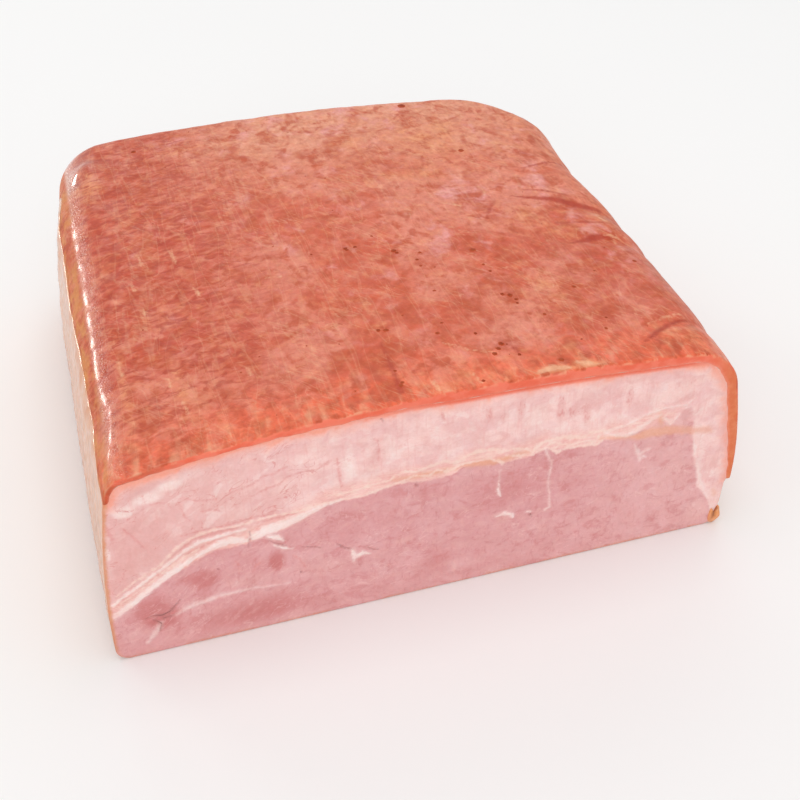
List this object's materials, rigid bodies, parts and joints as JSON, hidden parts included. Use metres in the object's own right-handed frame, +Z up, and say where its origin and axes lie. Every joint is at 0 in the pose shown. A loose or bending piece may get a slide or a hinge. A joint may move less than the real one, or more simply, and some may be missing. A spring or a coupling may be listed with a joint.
{
  "type": "smoked bacon slab",
  "caption": "Pressed slab of smoked bacon with its rind on, cut straight across to show the layers of fat and lean.",
  "frame": {"origin": "under the middle of the slab's bounding box, on the surface it rests on", "axes": "+X along the cut face to its right, -Y out of the cut face, +Z up through the rind"},
  "size_m": [0.1762, 0.1764, 0.0664],
  "materials": {
    "rind": "smoked pork rind, moist and glossy, orange-red with browner marks",
    "meat": "moist cut face, pale pink fat over mauve-pink lean"
  },
  "bodies": {
    "root": {"bacon_slab": "rind"}
  },
  "joints": []
}
